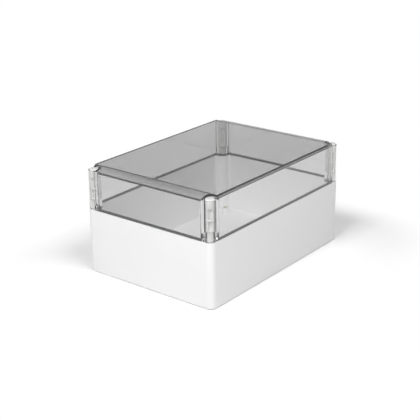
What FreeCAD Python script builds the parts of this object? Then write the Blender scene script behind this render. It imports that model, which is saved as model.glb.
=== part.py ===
import FreeCAD, Part
import math
import os
import re
import Sketcher
from FreeCAD import Vector

# Wall-mounting enclosure: a deep ABS base, a tall clear lid with four corner screw
# posts, the gasket between them, four long cover screws and four floor inserts.
# Millimetres, +X along the long sides, +Z up, origin under the middle of the base.

SIZES = {
    # closed box, outside
    "box_length": 252.0,
    "box_width": 180.0,
    "base_height": 76.5,
    "lid_height": 50.0,
    "corner_radius": 8.0,
    # base moulding
    "base_wall": 3.2,
    "floor_thick": 3.0,
    "foot_fillet": 1.5,
    "fixing_web": 10.0,
    "fixing_radius": 2.2,
    # floor bosses
    "boss_inset": 21.0,
    "boss_radius": 4.5,
    "boss_height": 8.0,
    # lid moulding
    "lid_step": 0.6,
    "lid_wall": 3.2,
    "lid_top": 3.0,
    "lid_draft": 0.35,
    "edge_drop": 3.5,
    "side_bevel": 3.5,
    "end_slope": 15.0,
    "slope_radius": 60.0,
    "notch_margin": 2.2,
    "notch_drop": 3.9,
    "post_wall": 3.4,
    "blend_radius": 3.0,
    "lid_blend": 1.0,
    "foot_height": 11.5,
    # seal
    "groove_lip": 0.7,
    "groove_width": 1.8,
    "groove_depth": 3.0,
    "gasket_gap": 0.05,
    # cover screws
    "screw_inset": 7.4,
    "head_radius": 5.0,
    "head_gap": 0.4,
    "head_sink": 2.7,
    "head_length": 10.5,
    "disc_thick": 1.6,
    "rib_thick": 1.8,
    "rib_radius": 4.7,
    "slot_width": 1.6,
    "slot_length": 7.6,
    "slot_depth": 2.5,
    "shank_radius": 3.5,
    "shank_gap": 0.3,
    "thread_gap": 0.1,
    "thread_reach": 16.0,
    # brass inserts
    "insert_radius": 2.8,
    "insert_bore": 1.65,
    "insert_length": 6.0,
    "insert_gap": 0.05,
    "insert_relief": 1.0,
    # how far cutting outlines run past the moulding
    "beyond": 12.0,
}

# Places that several pieces share, worked out from the sizes
TOP_Z = "(base_height + lid_height)"
EDGE_Z = "(base_height + lid_height - edge_drop)"
SEAT_Z = "(base_height + foot_height)"
HEAD_TOP_Z = "(base_height + lid_height - head_sink)"
HEAD_LOW_Z = "(base_height + lid_height - head_sink - head_length)"
BOSS_TOP_Z = "(floor_thick + boss_height)"
SCREW_X = "(box_length / 2 - screw_inset)"
SCREW_Y = "(box_width / 2 - screw_inset)"
BOSS_X = "(box_length / 2 - boss_inset)"
BOSS_Y = "(box_width / 2 - boss_inset)"
BORE_RADIUS = "(head_radius + head_gap)"

CORNERS = {
    "front_left": (-1, -1),
    "front_right": (1, -1),
    "back_right": (1, 1),
    "back_left": (-1, 1),
}

os.makedirs("parts", exist_ok=True)
doc = FreeCAD.newDocument("Enclosure")
sheet = doc.addObject("Spreadsheet::Sheet", "Sizes")
for row, (alias, size) in enumerate(SIZES.items(), start=1):
    sheet.set("A%d" % row, alias)
    sheet.set("B%d" % row, str(size))
    sheet.setAlias("B%d" % row, alias)
doc.recompute()


def bound(expression):
    """The expression with every size read from the sheet."""
    return re.sub(
        r"[a-z_]+",
        lambda word: "Sizes." + word.group() if word.group() in SIZES else word.group(),
        expression,
    )


def value(expression):
    return float(sheet.evalExpression(bound(expression)))


def signed(sign, expression):
    return expression if sign > 0 else "-(%s)" % expression


def new_body(name):
    body = doc.addObject("PartDesign::Body", name)
    body.Label = name
    return body


def new_sketch(body, name, plane="XY_Plane", height=None):
    sketch = body.newObject("Sketcher::SketchObject", name)
    support = [item for item in body.Origin.OriginFeatures if item.Role == plane][0]
    sketch.AttachmentSupport = [(support, "")]
    sketch.MapMode = "FlatFace"
    if height is not None:
        sketch.setExpression(".AttachmentOffset.Base.z", bound(height))
    return sketch


def dimension(sketch, kind, where, expression):
    """A sketch dimension bound to the sheet."""
    index = sketch.addConstraint(Sketcher.Constraint(kind, *where, value(expression)))
    name = "size_%d" % index
    sketch.renameConstraint(index, name)
    sketch.setExpression("Constraints." + name, bound(expression))


def locate(sketch, kind, edge, point, expression):
    """Distance of a point from the sketch's origin along one axis."""
    distance = value(expression)
    if abs(distance) < 1e-9:
        axis = -2 if kind == "DistanceX" else -1
        sketch.addConstraint(Sketcher.Constraint("PointOnObject", edge, point, axis))
    elif distance > 0:
        dimension(sketch, kind, (-1, 1, edge, point), expression)
    else:
        dimension(sketch, kind, (edge, point, -1, 1), "-(%s)" % expression)


def meeting_ends(first, second):
    """Numbers of the two end points at which neighbouring edges meet."""
    for i, one in ((1, first.StartPoint), (2, first.EndPoint)):
        for j, other in ((1, second.StartPoint), (2, second.EndPoint)):
            if one.distanceToPoint(other) < 1e-5:
                return i, j
    raise ValueError("the outline has a gap")


def add_loop(sketch, edges, links):
    """Closed outline; each edge has its link to the next one. Gives its first index."""
    start = sketch.GeometryCount
    sketch.addGeometry(edges, False)
    for i, (edge, link) in enumerate(zip(edges, links)):
        j = (i + 1) % len(edges)
        a, b = meeting_ends(edge, edges[j])
        sketch.addConstraint(Sketcher.Constraint(link, start + i, a, start + j, b))
    return start


def short_arc(centre, radius, first, last):
    """The arc of under half a turn between two points."""
    a = math.atan2(first.y - centre.y, first.x - centre.x)
    b = math.atan2(last.y - centre.y, last.x - centre.x)
    if (b - a) % (2 * math.pi) > math.pi:
        a, b = b, a
    return Part.ArcOfCircle(Part.Circle(centre, Vector(0, 0, 1), radius), a, b)


def polygon(sketch, corners):
    """Closed straight-sided outline, each corner placed by two expressions."""
    points = [Vector(value(x), value(y), 0) for x, y in corners]
    edges = [Part.LineSegment(a, b) for a, b in zip(points, points[1:] + points[:1])]
    start = add_loop(sketch, edges, ["Coincident"] * len(edges))
    for i, (x, y) in enumerate(corners):
        locate(sketch, "DistanceX", start + i, 1, x)
        locate(sketch, "DistanceY", start + i, 1, y)
    return start


def circles(sketch, places, radius):
    """Equal circles at places given by two expressions each."""
    for x, y in places:
        circle = Part.Circle(Vector(value(x), value(y), 0), Vector(0, 0, 1), value(radius))
        index = sketch.addGeometry(circle, False)
        locate(sketch, "DistanceX", index, 3, x)
        locate(sketch, "DistanceY", index, 3, y)
        dimension(sketch, "Radius", (index,), radius)


def at_corners(x, y):
    return [(signed(sx, x), signed(sy, y)) for sx, sy in CORNERS.values()]


def wall_line(sketch, outward, blend_size="lid_blend"):
    """Line parallel to the lid's inner face, moved outward by the given amount.

    It runs straight along the walls and bows inwards round each screw post, with a
    blend arc each side of the post. The cavities, the groove and the seal all use it.
    """
    inset = "(lid_step + lid_wall - (%s))" % outward
    post = "(%s + post_wall - (%s))" % (BORE_RADIUS, outward)
    blend = "(%s + (%s))" % (blend_size, outward)
    hx = value("box_length / 2 - %s" % inset)
    hy = value("box_width / 2 - %s" % inset)
    ax, ay, r, f = value(SCREW_X), value(SCREW_Y), value(post), value(blend)
    # blend centres beside the post of the corner at +X +Y, one per wall
    side_x, side_y = hx - f, ay - math.sqrt((r + f) ** 2 - (hx - f - ax) ** 2)
    end_x, end_y = ax - math.sqrt((r + f) ** 2 - (hy - f - ay) ** 2), hy - f
    on_post = r / (r + f)
    edges = []
    ends = [(1, 1), (-1, 1), (-1, -1), (1, -1)]
    for (sx, sy), (nx, ny) in zip(ends, ends[1:] + ends[:1]):
        axis = Vector(sx * ax, sy * ay, 0)
        by_side = Vector(sx * side_x, sy * side_y, 0)
        by_end = Vector(sx * end_x, sy * end_y, 0)
        from_side = Vector(sx * hx, sy * side_y, 0)
        from_end = Vector(sx * end_x, sy * hy, 0)
        touch_side = axis + (by_side - axis) * on_post
        touch_end = axis + (by_end - axis) * on_post
        side_arc = short_arc(by_side, f, from_side, touch_side)
        end_arc = short_arc(by_end, f, touch_end, from_end)
        post_arc = short_arc(axis, r, touch_side, touch_end)
        if sx == sy:
            straight = Part.LineSegment(from_end, Vector(nx * end_x, ny * hy, 0))
            edges += [side_arc, post_arc, end_arc, straight]
        else:
            straight = Part.LineSegment(from_side, Vector(nx * hx, ny * side_y, 0))
            edges += [end_arc, post_arc, side_arc, straight]
    start = add_loop(sketch, edges, ["Tangent"] * len(edges))
    for i, (sx, sy) in enumerate(ends):
        first = start + 4 * i
        dimension(sketch, "Radius", (first,), blend)
        dimension(sketch, "Radius", (first + 1,), post)
        dimension(sketch, "Radius", (first + 2,), blend)
        locate(sketch, "DistanceX", first + 1, 3, signed(sx, SCREW_X))
        locate(sketch, "DistanceY", first + 1, 3, signed(sy, SCREW_Y))
        if sx == sy:
            sketch.addConstraint(Sketcher.Constraint("Horizontal", first + 3))
            locate(sketch, "DistanceY", first + 3, 1, signed(sy, "box_width / 2 - %s" % inset))
        else:
            sketch.addConstraint(Sketcher.Constraint("Vertical", first + 3))
            locate(sketch, "DistanceX", first + 3, 1, signed(sx, "box_length / 2 - %s" % inset))


def changes_volume(body, feature, grows):
    """Recomputes and makes sure that the feature added or removed material."""
    before = body.Tip.BaseFeature.Shape.Volume if body.Tip.BaseFeature else 0.0
    doc.recompute()
    if "Invalid" in feature.State or "Error" in feature.State:
        raise ValueError(feature.Name + " failed")
    after = feature.Shape.Volume
    if (after > before) != grows:
        raise ValueError(feature.Name + " left the volume as it was")
    return feature


def pad(body, name, sketch, length, both=False, taper=None):
    feature = body.newObject("PartDesign::Pad", name)
    feature.Profile = sketch
    feature.setExpression("Length", bound(length))
    if both:
        feature.SideType = "Symmetric"
    if taper is not None:
        feature.setExpression("TaperAngle", bound(signed(-1, taper)))
    return changes_volume(body, feature, True)


def pocket(body, name, sketch, length=None, upward=False, both=False):
    """Cut to a length, or right through where no length is given."""
    feature = body.newObject("PartDesign::Pocket", name)
    feature.Profile = sketch
    feature.Reversed = upward
    if both:
        feature.SideType = "Symmetric"
    if length is None:
        feature.Type = "ThroughAll"
    else:
        feature.setExpression("Length", bound(length))
    return changes_volume(body, feature, False)


def revolve(body, name, sketch):
    feature = body.newObject("PartDesign::Revolution", name)
    feature.Profile = sketch
    feature.ReferenceAxis = (sketch, ["V_Axis"])
    feature.Angle = 360
    return changes_volume(body, feature, True)


def fillet(body, name, radius, chosen):
    """Rounds the chosen edges of the body as it stands."""
    base = body.Tip
    names = ["Edge%d" % (i + 1) for i, edge in enumerate(base.Shape.Edges) if chosen(edge)]
    feature = body.newObject("PartDesign::Fillet", name)
    feature.Base = (base, names)
    feature.setExpression("Radius", bound(radius))
    return changes_volume(body, feature, False)


def stands_up(edge):
    box = edge.BoundBox
    return box.ZLength > box.XLength + box.YLength


def lies_on_ground(edge):
    return abs(edge.BoundBox.ZMax) < 1e-4


def make_base():
    """Deep ABS tub with a screw column in each corner and bosses on its floor."""
    body = new_body("base")

    outline = new_sketch(body, "base_outline")
    polygon(outline, at_corners("box_length / 2", "box_width / 2"))
    pad(body, "base_block", outline, "base_height")
    fillet(body, "base_corner_edges", "corner_radius", stands_up)
    fillet(body, "base_foot_edges", "foot_fillet", lies_on_ground)

    # The cavity leaves the walls and, in each corner, the column for a cover screw
    inside = new_sketch(body, "base_inside", height="base_height")
    wall_line(inside, "lid_step + lid_wall - base_wall", "blend_radius")
    pocket(body, "base_cavity", inside, "base_height - floor_thick")

    # Cover screws enter from above; wall screws go down the same columns
    columns = new_sketch(body, "base_columns", height="base_height")
    circles(columns, at_corners(SCREW_X, SCREW_Y), "shank_radius + thread_gap")
    pocket(body, "base_screw_bores", columns, "base_height - fixing_web")
    fixing = new_sketch(body, "base_fixing", height="fixing_web")
    circles(fixing, at_corners(SCREW_X, SCREW_Y), "fixing_radius")
    pocket(body, "base_fixing_holes", fixing)

    bosses = new_sketch(body, "base_boss_circles", height="floor_thick")
    circles(bosses, at_corners(BOSS_X, BOSS_Y), "boss_radius")
    pad(body, "base_bosses", bosses, "boss_height")
    seats = new_sketch(body, "base_insert_circles", height=BOSS_TOP_Z)
    circles(seats, at_corners(BOSS_X, BOSS_Y), "insert_radius + insert_gap")
    pocket(body, "base_insert_seats", seats, "insert_length + insert_relief")
    return body


def sloped_end(sketch, side):
    """Region above the curved strip at one short end of the lid."""
    inner_x, inner_z = "box_length / 2 - end_slope", TOP_Z
    outer_x, outer_z = "box_length / 2 - lid_step", EDGE_Z
    beyond_x = "box_length / 2 + beyond"
    above_z = TOP_Z + " + beyond"
    inner = Vector(side * value(inner_x), value(inner_z), 0)
    outer = Vector(side * value(outer_x), value(outer_z), 0)
    centre = arc_centre(inner, outer, value("slope_radius"))
    corners = [
        (outer_x, outer_z),
        (beyond_x, outer_z),
        (beyond_x, above_z),
        (inner_x, above_z),
        (inner_x, inner_z),
    ]
    points = [Vector(side * value(x), value(z), 0) for x, z in corners]
    edges = [Part.LineSegment(a, b) for a, b in zip(points, points[1:])]
    edges.append(short_arc(centre, value("slope_radius"), inner, outer))
    start = add_loop(sketch, edges, ["Coincident"] * len(edges))
    for i, (x, z) in enumerate(corners[:4]):
        locate(sketch, "DistanceX", start + i, 1, signed(side, x))
        locate(sketch, "DistanceY", start + i, 1, z)
    locate(sketch, "DistanceX", start + 3, 2, signed(side, inner_x))
    locate(sketch, "DistanceY", start + 3, 2, inner_z)
    dimension(sketch, "Radius", (start + 4,), "slope_radius")


def arc_centre(inner, outer, radius):
    """Centre below two points, of an arc that bulges upwards between them."""
    middle = (inner + outer) * 0.5
    chord = outer - inner
    depth = math.sqrt(radius ** 2 - (chord.Length / 2) ** 2)
    across = Vector(-chord.y, chord.x, 0).normalize()
    if across.y > 0:
        across = -across
    return middle + across * depth


def make_lid():
    """Clear cover with bevelled long edges, sloped ends and four screw posts."""
    body = new_body("lid")

    outline = new_sketch(body, "lid_outline", height="base_height")
    polygon(outline, at_corners("box_length / 2 - lid_step", "box_width / 2 - lid_step"))
    pad(body, "lid_block", outline, "lid_height", taper="lid_draft")
    fillet(body, "lid_corner_edges", "corner_radius - lid_step", stands_up)

    inside = new_sketch(body, "lid_inside", height="base_height")
    wall_line(inside, "0")
    pocket(body, "lid_cavity", inside, "lid_height - lid_top", upward=True)

    # Wedge under each sloping strip, from post to post, so the lid stays thick there
    wedges = new_sketch(body, "lid_wedge_profile", plane="XZ_Plane")
    for side in (-1, 1):
        wedge(wedges, side)
    pad(body, "lid_wedges", wedges, "box_width - 2 * screw_inset", both=True)

    slopes = new_sketch(body, "lid_slope_profile", plane="XZ_Plane")
    for side in (-1, 1):
        sloped_end(slopes, side)
    pocket(body, "lid_slopes", slopes, both=True)

    bevels = new_sketch(body, "lid_bevel_profile", plane="YZ_Plane")
    for side in (-1, 1):
        half = "box_width / 2"
        above = TOP_Z + " + beyond"
        corners = [
            (half + " - side_bevel", TOP_Z),
            (half + " - lid_step", EDGE_Z),
            (half + " + beyond", EDGE_Z),
            (half + " + beyond", above),
            (half + " - side_bevel", above),
        ]
        polygon(bevels, [(signed(side, y), z) for y, z in corners])
    pocket(body, "lid_bevels", bevels, both=True)

    # Corner notches, round the screw heads
    notches = new_sketch(body, "lid_notch_outline", height=TOP_Z)
    for sx, sy in CORNERS.values():
        notch(notches, sx, sy)
    pocket(body, "lid_notches", notches, "notch_drop")

    # Wide bores for the screw heads down to the foot, narrow ones through the foot
    heads = new_sketch(body, "lid_bore_circles", height=TOP_Z)
    circles(heads, at_corners(SCREW_X, SCREW_Y), BORE_RADIUS)
    pocket(body, "lid_bores", heads, "%s - %s" % (TOP_Z, SEAT_Z))
    feet = new_sketch(body, "lid_foot_circles", height=SEAT_Z)
    circles(feet, at_corners(SCREW_X, SCREW_Y), "shank_radius + shank_gap")
    pocket(body, "lid_foot_holes", feet)

    groove = new_sketch(body, "lid_groove_lines", height="base_height")
    wall_line(groove, "groove_lip")
    wall_line(groove, "groove_lip + groove_width")
    pocket(body, "lid_groove", groove, "groove_depth", upward=True)
    return body


def wedge(sketch, side):
    """Triangle between the ceiling and the underside of a sloping strip."""
    wall_x = "(box_length / 2 - lid_step - lid_wall / 2)"
    ceiling_z = TOP_Z + " - lid_top / 2"
    corners = [
        ("box_length / 2 - end_slope", TOP_Z + " - lid_top"),
        (wall_x, EDGE_Z + " - lid_top"),
        (wall_x, ceiling_z),
        ("box_length / 2 - end_slope", ceiling_z),
    ]
    polygon(sketch, [(signed(side, x), z) for x, z in corners])


def notch(sketch, sx, sy):
    """Square corner cut whose inner corner is rounded about the screw's axis."""
    reach = "(head_radius + notch_margin)"
    over_x, over_y = SCREW_X + " + beyond", SCREW_Y + " + beyond"
    ax, ay, r = sx * value(SCREW_X), sy * value(SCREW_Y), value(reach)
    out_x, out_y = sx * value(over_x), sy * value(over_y)
    by_side = Vector(ax, ay - sy * r, 0)
    by_end = Vector(ax - sx * r, ay, 0)
    points = [
        by_end,
        Vector(ax - sx * r, out_y, 0),
        Vector(out_x, out_y, 0),
        Vector(out_x, ay - sy * r, 0),
        by_side,
    ]
    edges = [Part.LineSegment(a, b) for a, b in zip(points, points[1:])]
    edges.append(short_arc(Vector(ax, ay, 0), r, by_side, by_end))
    start = add_loop(sketch, edges, ["Coincident"] * 3 + ["Tangent"] * 2)
    locate(sketch, "DistanceX", start + 4, 3, signed(sx, SCREW_X))
    locate(sketch, "DistanceY", start + 4, 3, signed(sy, SCREW_Y))
    dimension(sketch, "Radius", (start + 4,), reach)
    for i, kind in enumerate(("Vertical", "Horizontal", "Vertical", "Horizontal")):
        sketch.addConstraint(Sketcher.Constraint(kind, start + i))
    locate(sketch, "DistanceX", start + 2, 1, signed(sx, over_x))
    locate(sketch, "DistanceY", start + 2, 1, signed(sy, over_y))


def make_gasket():
    """Endless soft seal that fills the lid's groove and rests on the base's rim."""
    body = new_body("gasket")
    lines = new_sketch(body, "gasket_lines", height="base_height")
    wall_line(lines, "groove_lip + gasket_gap")
    wall_line(lines, "groove_lip + groove_width - gasket_gap")
    pad(body, "gasket_strip", lines, "groove_depth")
    return body


def set_at(body, x, y):
    body.setExpression("Placement.Base.x", bound(x))
    body.setExpression("Placement.Base.y", bound(y))


def make_screw(name, x, y):
    """Long moulded cover screw: slotted head, ribbed shank with discs, plain end."""
    body = new_body(name)

    # Cross of four ribs that joins the head to the discs below it
    cross = new_sketch(body, name + "_cross", height=SEAT_Z)
    far, near = "rib_radius", "rib_thick / 2"
    quarter = [(far, near), (near, near), (near, far)]
    outline = []
    for a, b in ((1, 1), (-1, 1), (-1, -1), (1, -1)):
        points = [(signed(a, px), signed(b, py)) for px, py in quarter]
        outline += points if a == b else points[::-1]
    polygon(cross, outline)
    pad(body, name + "_ribs", cross, "%s - %s" % (HEAD_LOW_Z, SEAT_Z))

    # Threaded end with the seating disc, middle disc and head, all turned
    tip = "base_height - thread_reach"
    middle = "(%s + %s) / 2" % (SEAT_Z, HEAD_LOW_Z)
    profile = new_sketch(body, name + "_profile", plane="XZ_Plane")
    polygon(profile, [
        ("0", tip),
        ("shank_radius", tip),
        ("shank_radius", SEAT_Z),
        ("head_radius", SEAT_Z),
        ("head_radius", SEAT_Z + " + disc_thick"),
        ("0", SEAT_Z + " + disc_thick"),
    ])
    polygon(profile, [
        ("0", middle + " - disc_thick / 2"),
        ("head_radius", middle + " - disc_thick / 2"),
        ("head_radius", middle + " + disc_thick / 2"),
        ("0", middle + " + disc_thick / 2"),
    ])
    polygon(profile, [
        ("0", HEAD_LOW_Z),
        ("head_radius", HEAD_LOW_Z),
        ("head_radius", HEAD_TOP_Z),
        ("0", HEAD_TOP_Z),
    ])
    revolve(body, name + "_turned", profile)

    slot = new_sketch(body, name + "_slot_outline", height=HEAD_TOP_Z)
    half_length, half_width = "slot_length / 2", "slot_width / 2"
    polygon(slot, [
        (signed(-1, half_length), signed(-1, half_width)),
        (half_length, signed(-1, half_width)),
        (half_length, half_width),
        (signed(-1, half_length), half_width),
    ])
    pocket(body, name + "_slot", slot, "slot_depth")
    set_at(body, x, y)
    return body


def make_insert(name, x, y):
    """Brass threaded insert, flush with its boss, whose flats keep it from turning."""
    body = new_body(name)
    outline = new_sketch(body, name + "_outline", height=BOSS_TOP_Z + " - insert_length")
    corners = []
    for k in range(12):
        angle = math.radians(30 * k)
        along, across = math.cos(angle), math.sin(angle)
        corners.append((
            signed(along, "insert_radius * %.6f" % abs(along)),
            signed(across, "insert_radius * %.6f" % abs(across)),
        ))
    polygon(outline, corners)
    circles(outline, [("0", "0")], "insert_bore")
    pad(body, name + "_sleeve", outline, "insert_length")
    set_at(body, x, y)
    return body


pieces = [make_base(), make_lid(), make_gasket()]
for place, (side_x, side_y) in CORNERS.items():
    pieces.append(make_screw("lid_screw_" + place, signed(side_x, SCREW_X), signed(side_y, SCREW_Y)))
for place, (side_x, side_y) in CORNERS.items():
    pieces.append(make_insert("insert_" + place, signed(side_x, BOSS_X), signed(side_y, BOSS_Y)))
doc.recompute()

for item in doc.Objects:
    if "Invalid" in item.State or "Error" in item.State:
        raise ValueError(item.Name + " is not valid")
for piece in pieces:
    shape = piece.Shape
    if shape.isNull() or not shape.isValid() or len(shape.Solids) != 1:
        raise ValueError(piece.Label + " is not one valid solid")
for piece in pieces:
    piece.Shape.exportStep("parts/%s.step" % piece.Label)
    print(piece.Label, round(piece.Shape.Volume, 1), piece.Shape.BoundBox)
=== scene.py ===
import bmesh
import bpy
import math
from mathutils import Matrix, Vector


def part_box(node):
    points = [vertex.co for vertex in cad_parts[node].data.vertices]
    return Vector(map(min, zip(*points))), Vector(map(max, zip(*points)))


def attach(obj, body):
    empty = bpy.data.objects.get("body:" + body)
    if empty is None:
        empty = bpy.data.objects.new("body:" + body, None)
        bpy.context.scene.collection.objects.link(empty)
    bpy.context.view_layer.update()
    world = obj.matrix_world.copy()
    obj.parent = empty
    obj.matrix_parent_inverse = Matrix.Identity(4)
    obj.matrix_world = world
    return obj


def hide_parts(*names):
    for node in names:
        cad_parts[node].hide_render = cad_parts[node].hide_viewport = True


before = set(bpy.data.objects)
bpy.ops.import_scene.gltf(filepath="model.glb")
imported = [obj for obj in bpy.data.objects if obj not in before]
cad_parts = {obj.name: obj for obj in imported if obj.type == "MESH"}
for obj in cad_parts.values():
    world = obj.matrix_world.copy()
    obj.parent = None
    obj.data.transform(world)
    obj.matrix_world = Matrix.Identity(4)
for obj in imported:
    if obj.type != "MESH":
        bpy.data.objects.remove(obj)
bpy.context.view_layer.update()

# Base: a deep tub of light grey ABS with a screw column in each corner, moulded in one
# shot. The tool's spark-eroded faces leave a very fine satin grain.
MM = 0.001
base_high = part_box("base")[1]
floor_level = 3.0 * MM
floor_fillet = 2.0 * MM
base_edge_radius = 0.35 * MM
fillet_segments = 4
edge_segments = 2
weld_distance = 0.002 * MM
level_tolerance = 0.01 * MM
flat_angle = math.radians(0.4)
inner_corner_angle = math.radians(40)
outer_edge_angle = math.radians(28)


def new_object(name, data):
    """Makes an object of the data and puts it in the scene."""
    thing = bpy.data.objects.new(name, data)
    bpy.context.scene.collection.objects.link(thing)
    return thing


def merged_copy(node, piece_name):
    """A copy of a CAD node's mesh with its loose triangles joined into whole faces."""
    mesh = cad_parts[node].data.copy()
    mesh.name = piece_name
    mesh.materials.clear()
    shape = bmesh.new()
    shape.from_mesh(mesh)
    bmesh.ops.remove_doubles(shape, verts=shape.verts, dist=weld_distance)
    bmesh.ops.dissolve_limit(
        shape, angle_limit=flat_angle, verts=shape.verts, edges=shape.edges
    )
    shape.to_mesh(mesh)
    shape.free()
    return new_object(piece_name, mesh)


def round_inner_edges(piece, level, radius):
    """Rounds the concave edges that lie at one level, as a mould's fillet does.

    The clamp against overlap leaves the round smaller than asked: about 0.35 mm at the
    base's floor and 1 mm at the lid's ceiling.
    """
    shape = bmesh.new()
    shape.from_mesh(piece.data)
    shape.normal_update()
    chosen = []
    for edge in shape.edges:
        on_level = all(abs(vert.co.z - level) < level_tolerance for vert in edge.verts)
        if on_level and len(edge.link_faces) == 2 and not edge.is_convex:
            if edge.calc_face_angle() > inner_corner_angle:
                chosen.append(edge)
    bmesh.ops.bevel(
        shape, geom=chosen, offset=radius, offset_type="OFFSET", segments=fillet_segments,
        profile=0.5, affect="EDGES", clamp_overlap=True,
    )
    shape.to_mesh(piece.data)
    shape.free()


def soften_edges(piece, radius):
    """Smooth curved faces, with a small round along every sharp edge.

    The clamp against overlap leaves the rounds smaller than asked: 0.03 mm on the base's
    rim and 0.01 to 0.06 mm on the lid's bevels.
    """
    piece.data.shade_smooth()
    bevel = piece.modifiers.new("edge_round", "BEVEL")
    bevel.width = radius
    bevel.segments = edge_segments
    bevel.limit_method = "ANGLE"
    bevel.angle_limit = outer_edge_angle
    bevel.use_clamp_overlap = True
    flat = piece.modifiers.new("flat_faces", "WEIGHTED_NORMAL")
    flat.mode = "FACE_AREA"
    flat.weight = 100


def feed(tree, node, inputs):
    """Sets a node's inputs from numbers, vectors or (node, socket name) pairs."""
    for label, source in inputs.items():
        socket = node.inputs[label]
        if isinstance(source, tuple) and isinstance(source[0], bpy.types.Node):
            tree.links.new(source[0].outputs[source[1]], socket)
        else:
            socket.default_value = source


def add_node(tree, kind, inputs=None, place=(0, 0), **settings):
    """Adds a node, with its settings first, because some of them change its sockets."""
    node = tree.nodes.new(kind)
    node.location = place
    for name, setting in settings.items():
        setattr(node, name, setting)
    feed(tree, node, inputs or {})
    return node


def new_mask_tree(name, inputs, outputs):
    """Shader group with named numbers in and out; gives its tree and its two end nodes."""
    tree = bpy.data.node_groups.new(name, "ShaderNodeTree")
    for label, default in inputs.items():
        socket = tree.interface.new_socket(label, in_out="INPUT", socket_type="NodeSocketFloat")
        socket.default_value = default
    for label in outputs:
        tree.interface.new_socket(label, in_out="OUTPUT", socket_type="NodeSocketFloat")
    start = add_node(tree, "NodeGroupInput", place=(-900, 0))
    end = add_node(tree, "NodeGroupOutput", place=(700, 0))
    return tree, start, end


def fine_grain_group():
    """Fine moulded grain: a height for a Bump node and a slow patchy mask."""
    tree, start, end = new_mask_tree(
        "fine_grain", {"Grain Scale": 2500.0, "Patch Scale": 30.0}, ("Height", "Patch")
    )
    spot = add_node(tree, "ShaderNodeTexCoord", place=(-900, -200))
    for label, detail, scale in (("Height", 3.0, "Grain Scale"), ("Patch", 4.0, "Patch Scale")):
        noise = add_node(tree, "ShaderNodeTexNoise", {
            "Vector": (spot, "Object"), "Scale": (start, scale), "Detail": detail,
        })
        feed(tree, end, {label: (noise, "Fac")})
    return tree


fine_grain = fine_grain_group()


def new_material(name):
    """A material with its node tree and its Principled shader."""
    material = bpy.data.materials.new(name)
    material.use_nodes = True
    return material, material.node_tree, material.node_tree.nodes["Principled BSDF"]


def opaque(colour):
    return (*colour, 1.0)


def grained_finish(name, colours, roughness, grain, patch, bump, metallic=0.0):
    """Opaque material whose colour, gloss and surface follow the fine grain group."""
    material, tree, surface = new_material(name)
    surface.inputs["Metallic"].default_value = metallic
    texture = add_node(tree, "ShaderNodeGroup", {
        "Grain Scale": grain, "Patch Scale": patch,
    }, (-900, 0), node_tree=fine_grain)
    tint = add_node(tree, "ShaderNodeMix", {
        "Factor": (texture, "Patch"), "A": opaque(colours[0]), "B": opaque(colours[1]),
    }, (-500, 200), data_type="RGBA")
    gloss = add_node(tree, "ShaderNodeMapRange", {
        "Value": (texture, "Patch"), "To Min": roughness[0], "To Max": roughness[1],
    }, (-500, -50))
    raised = add_node(tree, "ShaderNodeBump", {
        "Strength": bump[0], "Distance": bump[1], "Height": (texture, "Height"),
    }, (-300, -300))
    feed(tree, surface, {
        "Base Color": (tint, "Result"), "Roughness": (gloss, "Result"),
        "Normal": (raised, "Normal"),
    })
    return material


abs_grey = grained_finish(
    "abs_grey", ((0.76, 0.76, 0.76), (0.79, 0.79, 0.79)), (0.42, 0.54),
    grain=2200.0, patch=26.0, bump=(0.25, 0.03 * MM),
)
base_shell = merged_copy("base", "base_shell")
round_inner_edges(base_shell, floor_level, floor_fillet)
soften_edges(base_shell, base_edge_radius)
base_shell.data.materials.append(abs_grey)
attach(base_shell, "enclosure_base")
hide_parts("base")

# Floor inserts: four brass sleeves with an M4 thread, pressed hot into the bosses of the
# base's floor. Knurled bands outside hold them in the plastic.
insert_radius = 2.8 * MM
insert_bore = 1.65 * MM
form_weld = 0.004 * MM
crease_angle = math.radians(35)
axis_radius = 1e-7


def new_form_tree(name, inputs):
    """Geometry Nodes tree with a geometry in and out and the named inputs between."""
    tree = bpy.data.node_groups.new(name, "GeometryNodeTree")
    tree.interface.new_socket("Geometry", in_out="INPUT", socket_type="NodeSocketGeometry")
    kinds = {float: "NodeSocketFloat", int: "NodeSocketInt", tuple: "NodeSocketVector"}
    for label, default in inputs.items():
        kind = kinds[type(default)]
        socket = tree.interface.new_socket(label, in_out="INPUT", socket_type=kind)
        socket.default_value = default
    tree.interface.new_socket("Geometry", in_out="OUTPUT", socket_type="NodeSocketGeometry")
    return tree, add_node(tree, "NodeGroupInput")


def finish_form(tree, parts, material):
    """Joins the parts, makes instances real and gives them their material."""
    joined = tree.nodes.new("GeometryNodeJoinGeometry")
    for part in reversed(parts):
        feed(tree, joined, {"Geometry": part})
    real = add_node(tree, "GeometryNodeRealizeInstances", {"Geometry": (joined, "Geometry")})
    coated = add_node(tree, "GeometryNodeSetMaterial", {
        "Geometry": (real, "Geometry"), "Material": material,
    })
    add_node(tree, "NodeGroupOutput", {"Geometry": (coated, "Geometry")})


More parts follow.
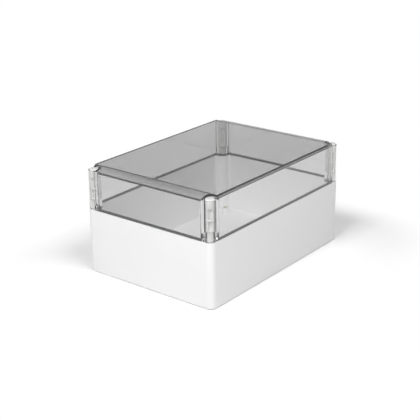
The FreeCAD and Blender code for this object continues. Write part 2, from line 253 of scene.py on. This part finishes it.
def form_piece(tree, carrier_data, values, piece_name):
    """Runs a tree on the carrier's geometry and keeps the result as a plain mesh."""
    carrier = new_object(piece_name + "_form", carrier_data)
    modifier = carrier.modifiers.new("form", "NODES")
    modifier.node_group = tree
    for item in tree.interface.items_tree:
        if item.in_out == "INPUT" and item.name in values:
            modifier[item.identifier] = values[item.name]
    evaluated = carrier.evaluated_get(bpy.context.evaluated_depsgraph_get())
    mesh = bpy.data.meshes.new_from_object(evaluated)
    bpy.data.objects.remove(carrier)
    shape = bmesh.new()
    shape.from_mesh(mesh)
    bmesh.ops.remove_doubles(shape, verts=shape.verts, dist=form_weld)
    bmesh.ops.recalc_face_normals(shape, faces=shape.faces)
    shape.to_mesh(mesh)
    shape.free()
    mesh.name = piece_name
    mesh.shade_smooth()
    mesh.set_sharp_from_angle(angle=crease_angle)
    return new_object(piece_name, mesh)


def poly_curve(name, places, closed=False):
    """Curve data with straight parts between the places."""
    curve = bpy.data.curves.new(name, "CURVE")
    curve.dimensions = "3D"
    line = curve.splines.new("POLY")
    line.points.add(len(places) - 1)
    line.use_cyclic_u = closed
    for point, place in zip(line.points, places):
        point.co = (*place, 1.0)
    return curve


def turned_outline(name, points):
    """Half outline of a turned form: each point is (radius, height).

    The sweep round the axis lays a profile's Y downwards, so the heights are negated.
    """
    return poly_curve(name, [(radius, -height, 0.0) for radius, height in points])


def turned(tree, outline, segments):
    """Sweeps a half outline round the Z axis."""
    axis = add_node(tree, "GeometryNodeCurvePrimitiveCircle", {
        "Resolution": segments, "Radius": axis_radius,
    })
    swept = add_node(tree, "GeometryNodeCurveToMesh", {
        "Curve": (axis, "Curve"), "Profile Curve": outline,
    })
    return swept, "Mesh"


def placed(tree, source, place):
    moved = add_node(tree, "GeometryNodeTransform", {"Geometry": source, "Translation": place})
    return moved, "Geometry"


def worked_out(tree, operation, *numbers):
    """The result of a Math node on numbers or (node, socket name) pairs."""
    node = add_node(tree, "ShaderNodeMath", dict(enumerate(numbers)), operation=operation)
    return node, "Value"


def combined(tree, **axes):
    """A vector from numbers or (node, socket name) pairs, zero on an axis left out."""
    return add_node(tree, "ShaderNodeCombineXYZ", axes), "Vector"


def thread_coil(tree, start, radius, resolution, ridge_radius):
    """A screw thread: a three-sided ridge that winds up a helix from where it starts."""
    helix = add_node(tree, "GeometryNodeCurveSpiral", {
        "Resolution": resolution, "Rotations": (start, "Turns"),
        "Start Radius": radius, "End Radius": radius,
        "Height": worked_out(tree, "MULTIPLY", (start, "Pitch"), (start, "Turns")),
    })
    ridge = add_node(tree, "GeometryNodeCurvePrimitiveCircle", {
        "Resolution": 3, "Radius": ridge_radius,
    })
    coil = add_node(tree, "GeometryNodeCurveToMesh", {
        "Curve": (helix, "Curve"), "Profile Curve": (ridge, "Curve"), "Fill Caps": True,
    })
    return placed(tree, (coil, "Mesh"), combined(tree, Z=(start, "Thread Start")))


brass = grained_finish(
    "turned_brass", ((0.45, 0.36, 0.22), (0.60, 0.51, 0.34)), (0.22, 0.42),
    grain=4000.0, patch=500.0, bump=(0.15, 0.02 * MM), metallic=1.0,
)


def insert_form():
    """Turned sleeve with two knurled bands outside and the thread inside."""
    tree, start = new_form_tree("threaded_insert", {
        "Place": (0.0, 0.0, 0.0),
        "Radius": insert_radius,
        "Tooth Width": 0.22 * MM,
        "Tooth Sink": 0.16 * MM,
        "Teeth": 24,
        "Band Height": 1.6 * MM,
        "Lower Band": 1.3 * MM,
        "Upper Band": 4.1 * MM,
        "Bore": insert_bore,
        "Pitch": 0.7 * MM,
        "Turns": 7.5,
        "Thread Start": 0.4 * MM,
    })
    parts = [turned(tree, (start, "Geometry"), segments=48)]
    width = (start, "Tooth Width")
    tooth = add_node(tree, "GeometryNodeMeshCube", {
        "Size": combined(tree, X=width, Y=width, Z=(start, "Band Height")),
    })
    ring = add_node(tree, "GeometryNodeMeshCircle", {
        "Vertices": (start, "Teeth"),
        "Radius": worked_out(tree, "SUBTRACT", (start, "Radius"), (start, "Tooth Sink")),
    })
    index = add_node(tree, "GeometryNodeInputIndex")
    share = worked_out(tree, "DIVIDE", (index, "Index"), (start, "Teeth"))
    angle = worked_out(tree, "MULTIPLY", share, 2 * math.pi)
    on_edge = worked_out(tree, "ADD", angle, math.pi / 4)
    knurl = add_node(tree, "GeometryNodeInstanceOnPoints", {
        "Points": (ring, "Mesh"), "Instance": (tooth, "Mesh"),
        "Rotation": combined(tree, Z=on_edge),
    })
    for band in ("Lower Band", "Upper Band"):
        parts.append(placed(tree, (knurl, "Instances"), combined(tree, Z=(start, band))))
    parts.append(
        thread_coil(tree, start, (start, "Bore"), resolution=24, ridge_radius=0.22 * MM)
    )
    parts = [placed(tree, part, (start, "Place")) for part in parts]
    finish_form(tree, parts, brass)
    return tree


insert_tree = insert_form()
insert_low, insert_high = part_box("insert_front_left")
insert_length = insert_high.z - insert_low.z
waist_radius = insert_radius - 0.3 * MM
thread_valley = insert_bore + 0.1 * MM
mouth_radius = insert_bore + 0.45 * MM
mouth_depth = 0.35 * MM
collar_chamfer = 0.12 * MM
insert_profile = turned_outline("insert_profile", [
    (thread_valley, mouth_depth),
    (mouth_radius, 0.0),
    (insert_radius - 0.5 * MM, 0.0),
    (waist_radius, 0.4 * MM),
    (waist_radius, 5.3 * MM),
    (insert_radius, 5.4 * MM),
    (insert_radius, insert_length - collar_chamfer),
    (insert_radius - collar_chamfer, insert_length),
    (mouth_radius, insert_length),
    (thread_valley, insert_length - mouth_depth),
    (thread_valley, mouth_depth),
])
corners = ("front_left", "front_right", "back_right", "back_left")
for corner in corners:
    low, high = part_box("insert_" + corner)
    place = ((low.x + high.x) / 2, (low.y + high.y) / 2, low.z)
    sleeve = form_piece(insert_tree, insert_profile, {"Place": place}, "brass_insert_" + corner)
    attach(sleeve, "enclosure_base")
    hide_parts("insert_" + corner)

# Lid: a tall cover of polished clear polycarbonate with a faint smoky tint, moulded in
# one shot with its corner posts. Its end strips, bevels and rim have a matt tool finish.
# It drops on the base, and four long screws hold it.
lid_low, lid_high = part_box("lid")
ceiling_level = lid_high.z - 3.0 * MM
ceiling_fillet = 2.4 * MM
lid_edge_radius = 0.3 * MM
rim_gap = 0.04 * MM
polycarbonate_ior = 1.58
matt_roughness = 0.3


def grey(level):
    return (level, level, level, 1.0)


def set_ramp(ramp, stops):
    """Gives a colour ramp its grey stops, each (position, level)."""
    elements = ramp.color_ramp.elements
    for element, (position, level) in zip(elements, (stops[0], stops[-1])):
        element.position = position
        element.color = grey(level)
    for position, level in stops[1:-1]:
        elements.new(position).color = grey(level)


def matt_mask_and_painted_shade_group():
    """Mask of the lid's matt strips, bevels and rim, and the painted shade of the strips: a soft
    darkening of their tint.
    """
    tree, start, end = new_mask_tree("matt_mask_and_painted_shade", {
        "Inner Edge": 111.0 * MM, "Outer Edge": 124.5 * MM, "Bevel Edge": 86.6 * MM,
        "Lowest": 122.9 * MM, "Rim Height": 76.7 * MM,
    }, ("Mask", "Shade"))
    spot = add_node(tree, "ShaderNodeTexCoord", place=(-900, -200))
    split = add_node(tree, "ShaderNodeSeparateXYZ", {"Vector": (spot, "Object")}, (-700, -200))
    along = worked_out(tree, "ABSOLUTE", (split, "X"))
    across = worked_out(tree, "ABSOLUTE", (split, "Y"))
    on_top = worked_out(tree, "GREATER_THAN", (split, "Z"), (start, "Lowest"))
    at_end = worked_out(tree, "GREATER_THAN", along, (start, "Inner Edge"))
    at_side = worked_out(tree, "GREATER_THAN", across, (start, "Bevel Edge"))
    strips = worked_out(tree, "MULTIPLY", at_end, on_top)
    bevels = worked_out(tree, "MULTIPLY", at_side, on_top)
    rim = worked_out(tree, "LESS_THAN", (split, "Z"), (start, "Rim Height"))
    matt_top = worked_out(tree, "MAXIMUM", strips, bevels)
    # Painted shade: the strips' tint darkens a little way in from their inner edge and fades out
    # towards their outer edge.
    strip_share = add_node(tree, "ShaderNodeMapRange", {
        "Value": along, "From Min": (start, "Inner Edge"), "From Max": (start, "Outer Edge"),
    }, (-200, -400))
    painted_shade_ramp = add_node(tree, "ShaderNodeValToRGB", {"Fac": (strip_share, "Result")}, (0, -400))
    set_ramp(painted_shade_ramp, ((0.0, 0.0), (0.36, 1.0), (1.0, 0.0)))
    feed(tree, end, {
        "Mask": worked_out(tree, "MAXIMUM", matt_top, rim),
        "Shade": worked_out(tree, "MULTIPLY", strips, (painted_shade_ramp, "Color")),
    })
    return tree


def smoky_clear():
    """Smoky clear plastic; light for what lies inside passes straight through it."""
    material, tree, surface = new_material("smoky_polycarbonate")
    surface.inputs["Transmission Weight"].default_value = 1.0
    surface.inputs["IOR"].default_value = polycarbonate_ior
    texture = add_node(tree, "ShaderNodeGroup", {
        "Grain Scale": 900.0, "Patch Scale": 14.0,
    }, (-900, 0), node_tree=fine_grain)
    matt = add_node(tree, "ShaderNodeGroup", place=(-900, -300), node_tree=matt_mask_and_painted_shade_group())
    tint = add_node(tree, "ShaderNodeMix", {
        "Factor": (texture, "Patch"), "A": grey(0.72), "B": grey(0.77),
    }, (-500, 200), data_type="RGBA")
    # Painted shade: a darker grey is mixed into the tint over the end strips, standing in for
    # shading.
    shaded = add_node(tree, "ShaderNodeMix", {
        "Factor": (matt, "Shade"), "A": (tint, "Result"), "B": grey(0.38),
    }, (-250, 200), data_type="RGBA")
    gloss = add_node(tree, "ShaderNodeMapRange", {
        "Value": (texture, "Patch"), "From Min": 0.35, "From Max": 0.8,
        "To Min": 0.0, "To Max": 0.03,
    }, (-500, -50))
    finish = add_node(tree, "ShaderNodeMix", {
        "Factor": (matt, "Mask"), "A": (gloss, "Result"), "B": matt_roughness,
    }, (-250, -50), data_type="FLOAT")
    feed(tree, surface, {"Base Color": (shaded, "Result"), "Roughness": (finish, "Result")})
    straight = add_node(tree, "ShaderNodeBsdfTransparent", {"Color": grey(1.0)}, (0, -300))
    ray = add_node(tree, "ShaderNodeLightPath", place=(-300, 500))
    lighting = worked_out(tree, "MAXIMUM", (ray, "Is Shadow Ray"), (ray, "Is Diffuse Ray"))
    blend = add_node(tree, "ShaderNodeMixShader", {
        "Fac": lighting, 1: (surface, "BSDF"), 2: (straight, "BSDF"),
    }, (300, 100))
    feed(tree, tree.nodes["Material Output"], {"Surface": (blend, "Shader")})
    return material


clear_lid = merged_copy("lid", "clear_lid")
round_inner_edges(clear_lid, ceiling_level, ceiling_fillet)
for vert in clear_lid.data.vertices:
    if vert.co.z < lid_low.z + rim_gap:
        vert.co.z = lid_low.z + rim_gap
soften_edges(clear_lid, lid_edge_radius)
clear_lid.data.materials.append(smoky_clear())
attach(clear_lid, "cover")
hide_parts("lid")

# Seal: an endless cord of dark foamed rubber, pressed into the groove of the lid's rim.
# It follows the walls and bows inwards round each screw post.
seal_width = 1.7 * MM
seal_height = 2.9 * MM
seal_edge_radius = 0.4 * MM
screw_low, screw_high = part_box("lid_screw_front_left")
screw_x = -(screw_low.x + screw_high.x) / 2
screw_y = -(screw_low.y + screw_high.y) / 2
seal_low, seal_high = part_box("gasket")
seal_half_x = seal_high.x - seal_width / 2
seal_half_y = seal_high.y - seal_width / 2
seal_middle = seal_low.z + rim_gap + seal_height / 2
post_bow = 7.2 * MM
post_blend = 2.6 * MM
blend_steps = 14
bow_steps = 16


def arc_points(centre, radius, first, last, steps):
    """Points along an arc between two angles in degrees, both ends included."""
    angles = [math.radians(first + (last - first) * i / steps) for i in range(steps + 1)]
    return [(centre[0] + radius * math.cos(a), centre[1] + radius * math.sin(a)) for a in angles]


def turn_towards_screw(centre):
    return math.degrees(math.atan2(screw_y - centre[1], screw_x - centre[0]))


def seal_line():
    """Closed middle line of the seal, made for one corner and turned into the others."""
    across = seal_half_x - post_blend
    up = seal_half_y - post_blend
    reach = post_bow + post_blend
    side_centre = (across, screw_y - math.sqrt(reach ** 2 - (across - screw_x) ** 2))
    end_centre = (screw_x - math.sqrt(reach ** 2 - (up - screw_y) ** 2), up)
    side_turn = turn_towards_screw(side_centre)
    end_turn = turn_towards_screw(end_centre)
    bow = arc_points(
        (screw_x, screw_y), post_bow, side_turn - 180.0, end_turn - 180.0, bow_steps
    )
    quarter = arc_points(side_centre, post_blend, 0.0, side_turn, blend_steps)
    quarter += bow[1:-1]
    quarter += arc_points(end_centre, post_blend, end_turn, 90.0, blend_steps)
    half = quarter + [(-x, y) for x, y in reversed(quarter)]
    return half + [(-x, -y) for x, y in half]


foam_rubber = grained_finish(
    "foam_rubber", ((0.018, 0.018, 0.018), (0.035, 0.035, 0.035)), (0.65, 0.85),
    grain=3000.0, patch=90.0, bump=(0.5, 0.08 * MM),
)


def seal_form():
    """Sweeps the cord's rounded section along the middle line."""
    tree, start = new_form_tree("pressed_seal", {
        "Width": seal_width, "Height": seal_height, "Edge Radius": seal_edge_radius,
    })
    section = add_node(tree, "GeometryNodeCurvePrimitiveQuadrilateral", {
        "Width": (start, "Width"), "Height": (start, "Height"),
    })
    rounded = add_node(tree, "GeometryNodeFilletCurve", {
        "Curve": (section, "Curve"), "Count": 3, "Radius": (start, "Edge Radius"),
    }, mode="POLY")
    upright = add_node(
        tree, "GeometryNodeSetCurveNormal", {"Curve": (start, "Geometry")}, mode="Z_UP"
    )
    cord = add_node(tree, "GeometryNodeCurveToMesh", {
        "Curve": (upright, "Curve"), "Profile Curve": (rounded, "Curve"),
    })
    finish_form(tree, [(cord, "Mesh")], foam_rubber)
    return tree


seal_path = poly_curve("seal_line", [(x, y, seal_middle) for x, y in seal_line()], closed=True)
seal_ring = form_piece(seal_form(), seal_path, {}, "seal_ring")
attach(seal_ring, "cover")
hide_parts("gasket")

# Cover screws: four long captive screws moulded in natural white polyamide, each with a
# slotted head, a ribbed shank with two discs, and a short coarse thread for the column.
white_nylon = grained_finish(
    "white_nylon", ((0.68, 0.68, 0.67), (0.76, 0.76, 0.75)), (0.28, 0.42),
    grain=1800.0, patch=160.0, bump=(0.15, 0.03 * MM),
)
head_radius = 5.0 * MM
head_length = 10.5 * MM
head_round = 0.5 * MM
disc_thick = 1.6 * MM
disc_round = 0.25 * MM
shank_radius = 3.5 * MM
shank_end = -11.0 * MM
core_radius = 1.5 * MM
thread_root = 2.9 * MM
tip_chamfer = 0.9 * MM
seat_level = 88.0 * MM + 0.03 * MM


def screw_form():
    """Turned body with crossed ribs, a slot in its head, and the thread.

    The slot doesn't show: the turned body is open at its axis, so the Boolean leaves the top
    of the head whole over the slot. A weld of the body before the Boolean would open the slot.
    """
    tree, start = new_form_tree("cover_screw", {
        "Place": (0.0, 0.0, 0.0),
        "Rib Width": 9.4 * MM,
        "Rib Thickness": 1.8 * MM,
        "Rib Length": 25.2 * MM,
        "Slot Length": 7.6 * MM,
        "Slot Width": 1.6 * MM,
        "Slot Depth": 2.5 * MM,
        "Top": 35.8 * MM,
        "Thread Radius": 3.1 * MM,
        "Thread Start": -26.8 * MM,
        "Pitch": 2.2 * MM,
        "Turns": 5.5,
    })
    width, thickness, length = [
        (start, label) for label in ("Rib Width", "Rib Thickness", "Rib Length")
    ]
    lift = combined(tree, Z=worked_out(tree, "MULTIPLY", length, 0.5))
    ribs = []
    for x_size, y_size in ((width, thickness), (thickness, width)):
        block = add_node(tree, "GeometryNodeMeshCube", {
            "Size": combined(tree, X=x_size, Y=y_size, Z=length),
        })
        ribs.append(placed(tree, (block, "Mesh"), lift))
    cutter = add_node(tree, "GeometryNodeMeshCube", {
        "Size": combined(
            tree, X=(start, "Slot Length"), Y=(start, "Slot Width"),
            Z=worked_out(tree, "MULTIPLY", (start, "Slot Depth"), 2.0),
        ),
    })
    slotted = add_node(tree, "GeometryNodeMeshBoolean", {
        "Mesh 1": turned(tree, (start, "Geometry"), segments=64),
        "Mesh 2": placed(tree, (cutter, "Mesh"), combined(tree, Z=(start, "Top"))),
    }, operation="DIFFERENCE")
    thread = thread_coil(
        tree, start, (start, "Thread Radius"), resolution=32, ridge_radius=0.4 * MM
    )
    parts = [(slotted, "Mesh"), *ribs, thread]
    finish_form(tree, [placed(tree, part, (start, "Place")) for part in parts], white_nylon)
    return tree


def rounded_corner(radius, height, size, upwards):
    """Three points that round the outer corner of a disc's outline."""
    turn = 1 if upwards else -1
    middle = 0.3 * size
    return [
        (radius, height - turn * size),
        (radius - middle, height - turn * middle),
        (radius - size, height),
    ]


def disc(low, high, size):
    """Outline of a disc of the head's radius, with its two edges rounded."""
    lower = list(reversed(rounded_corner(head_radius, low, size, upwards=False)))
    return lower + rounded_corner(head_radius, high, size, upwards=True)


middle_level = (seat_level + screw_high.z - head_length) / 2 - seat_level
middle_low = middle_level - disc_thick / 2
middle_high = middle_level + disc_thick / 2
head_low = screw_high.z - head_length - seat_level
head_top = screw_high.z - seat_level
tip = screw_low.z - seat_level
screw_profile = turned_outline("screw_profile", [
    (0.0, tip),
    (thread_root - tip_chamfer, tip),
    (thread_root, tip + tip_chamfer),
    (thread_root, shank_end - 0.5 * MM),
    (shank_radius, shank_end),
    (shank_radius, 0.0),
    *disc(0.0, disc_thick, disc_round),
    (core_radius, disc_thick),
    (core_radius, middle_low),
    *disc(middle_low, middle_high, disc_round),
    (core_radius, middle_high),
    (core_radius, head_low),
    *disc(head_low, head_top, head_round),
    (0.0, head_top),
])
screw_tree = screw_form()
for corner in corners:
    low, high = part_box("lid_screw_" + corner)
    place = ((low.x + high.x) / 2, (low.y + high.y) / 2, seat_level)
    values = {"Place": place, "Rib Length": head_low, "Top": head_top}
    screw = form_piece(screw_tree, screw_profile, values, "cover_screw_" + corner)
    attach(screw, "screw_" + corner)
    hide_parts("lid_screw_" + corner)

# Studio floor: a wide white sweep that keeps only the object's soft shadow. Close to the
# object it shows the light that falls on it, and further out it is the white background.
half_floor = 6.0
floor_gap = 0.6 * MM
white_starts = 55.0 * MM
white_ends = 125.0 * MM
floor_mesh = bpy.data.meshes.new("studio_floor")
floor_mesh.from_pydata(
    [(x * half_floor, y * half_floor, 0) for x, y in ((-1, -1), (1, -1), (1, 1), (-1, 1))],
    [], [(0, 1, 2, 3)],
)
studio_floor = new_object("studio_floor", floor_mesh)
studio_floor.location.z = -floor_gap


def beyond_object_group():
    """How far a point of the floor lies outside the object's footprint, in metres."""
    tree, start, end = new_mask_tree(
        "beyond_object", {"Half Length": base_high.x, "Half Width": base_high.y}, ("Distance",)
    )
    spot = add_node(tree, "ShaderNodeTexCoord", place=(-900, -200))
    split = add_node(tree, "ShaderNodeSeparateXYZ", {"Vector": (spot, "Object")}, (-700, -200))
    squares = []
    for axis, label in (("X", "Half Length"), ("Y", "Half Width")):
        away = worked_out(tree, "ABSOLUTE", (split, axis))
        past = worked_out(tree, "SUBTRACT", away, (start, label))
        outside = worked_out(tree, "MAXIMUM", past, 0.0)
        squares.append(worked_out(tree, "POWER", outside, 2.0))
    total = worked_out(tree, "ADD", *squares)
    feed(tree, end, {"Distance": worked_out(tree, "SQRT", total)})
    return tree


def studio_white():
    """Matt white near the object, lifted a little, and plain white of strength 1 beyond."""
    material, tree, surface = new_material("studio_white")
    tree.nodes.remove(surface)
    beyond = add_node(tree, "ShaderNodeGroup", place=(-400, -300), node_tree=beyond_object_group())
    fade = add_node(tree, "ShaderNodeMapRange", {
        "Value": (beyond, "Distance"), "From Min": white_starts, "From Max": white_ends,
    }, (-200, -300), interpolation_type="SMOOTHSTEP")
    matt = add_node(tree, "ShaderNodeBsdfDiffuse", {"Color": grey(0.93)}, (-200, -600))
    lift = add_node(tree, "ShaderNodeEmission", {"Strength": 0.08}, (-200, -800))
    near = add_node(tree, "ShaderNodeAddShader", {
        0: (matt, "BSDF"), 1: (lift, "Emission"),
    }, (0, -700))
    far = add_node(tree, "ShaderNodeEmission", {"Strength": 1.0}, (0, -500))
    spread = add_node(tree, "ShaderNodeMixShader", {
        "Fac": (fade, "Result"), 1: (near, "Shader"), 2: (far, "Emission"),
    }, (200, -300))
    bounce = add_node(tree, "ShaderNodeBsdfDiffuse", {"Color": grey(0.80)}, (200, 0))
    ray = add_node(tree, "ShaderNodeLightPath", place=(200, 300))
    shown = add_node(tree, "ShaderNodeMixShader", {
        "Fac": (ray, "Is Diffuse Ray"), 1: (spread, "Shader"), 2: (bounce, "BSDF"),
    }, (400, 0))
    feed(tree, tree.nodes["Material Output"], {"Surface": (shown, "Shader")})
    return material


floor_mesh.materials.append(studio_white())

# Studio light: a plain white room and two broad soft lamps, the stronger by the short end
# and the weaker by the long wall, both near, so that the far ends get less light. What the
# camera, gloss and glass show of the room is a white horizon with greyer walls above.
world = bpy.data.worlds.new("studio")
bpy.context.scene.world = world
world.use_nodes = True
sky = world.node_tree
room = sky.nodes["Background"]
feed(sky, room, {"Color": grey(1.0), "Strength": 0.27})
direction = add_node(sky, "ShaderNodeTexCoord", place=(-900, -200))
height = add_node(
    sky, "ShaderNodeSeparateXYZ", {"Vector": (direction, "Generated")}, (-700, -200)
)
dome = add_node(sky, "ShaderNodeValToRGB", {"Fac": (height, "Z")}, (-400, -200))
set_ramp(dome, ((0.0, 1.0), (0.15, 0.9), (0.3, 0.3), (0.38, 0.13), (0.55, 0.15), (1.0, 0.55)))
seen = add_node(sky, "ShaderNodeBackground", {"Color": (dome, "Color")}, (0, -200))
ray = add_node(sky, "ShaderNodeLightPath", place=(-400, 300))
seen_or_mirrored = worked_out(sky, "MAXIMUM", (ray, "Is Camera Ray"), (ray, "Is Glossy Ray"))
any_seen = worked_out(sky, "MAXIMUM", seen_or_mirrored, (ray, "Is Transmission Ray"))
chosen_sky = add_node(sky, "ShaderNodeMixShader", {
    "Fac": any_seen, 1: (room, "Background"), 2: (seen, "Background"),
}, (200, 0))
feed(sky, sky.nodes["World Output"], {"Surface": (chosen_sky, "Shader")})


def broad_lamp(name, azimuth, elevation, strength, size, distance):
    """Square soft lamp turned to the object; strength is the light it gives there."""
    lamp = bpy.data.lights.new(name, "AREA")
    lamp.shape = "SQUARE"
    lamp.size = size
    lamp.energy = strength * math.pi * distance ** 2
    a, e = math.radians(azimuth), math.radians(elevation)
    stand = Vector((math.cos(e) * math.cos(a), math.cos(e) * math.sin(a), math.sin(e)))
    holder = new_object(name, lamp)
    holder.rotation_euler = stand.to_track_quat("Z", "Y").to_euler()
    holder.location = stand * distance


broad_lamp("lamp_short_end", azimuth=186.0, elevation=42.0, strength=1.84, size=0.5, distance=1.2)
broad_lamp("lamp_long_side", azimuth=252.0, elevation=50.0, strength=1.32, size=0.6, distance=1.2)

# Camera: a long lens a little over a metre away, where the photograph was taken from.
camera_place = Vector((-0.8827, -0.6848, 0.4843))
camera_yaw = math.radians(38.231)
camera_pitch = math.radians(20.977)
camera_roll = math.radians(0.662)
forward = Vector((
    math.cos(camera_yaw) * math.cos(camera_pitch),
    math.sin(camera_yaw) * math.cos(camera_pitch),
    -math.sin(camera_pitch),
))
level_right = Vector((math.sin(camera_yaw), -math.cos(camera_yaw), 0.0))
level_down = forward.cross(level_right)
image_right = math.cos(camera_roll) * level_right + math.sin(camera_roll) * level_down
image_down = -math.sin(camera_roll) * level_right + math.cos(camera_roll) * level_down
lens = bpy.data.cameras.new("photo_camera")
lens.sensor_width = 36.0
lens.lens = 86.57
camera = new_object("photo_camera", lens)
axes = Matrix((image_right, -image_down, -forward)).transposed()
camera.matrix_world = Matrix.Translation(camera_place) @ axes.to_4x4()
bpy.context.scene.camera = camera
bpy.context.scene.view_settings.view_transform = "Standard"
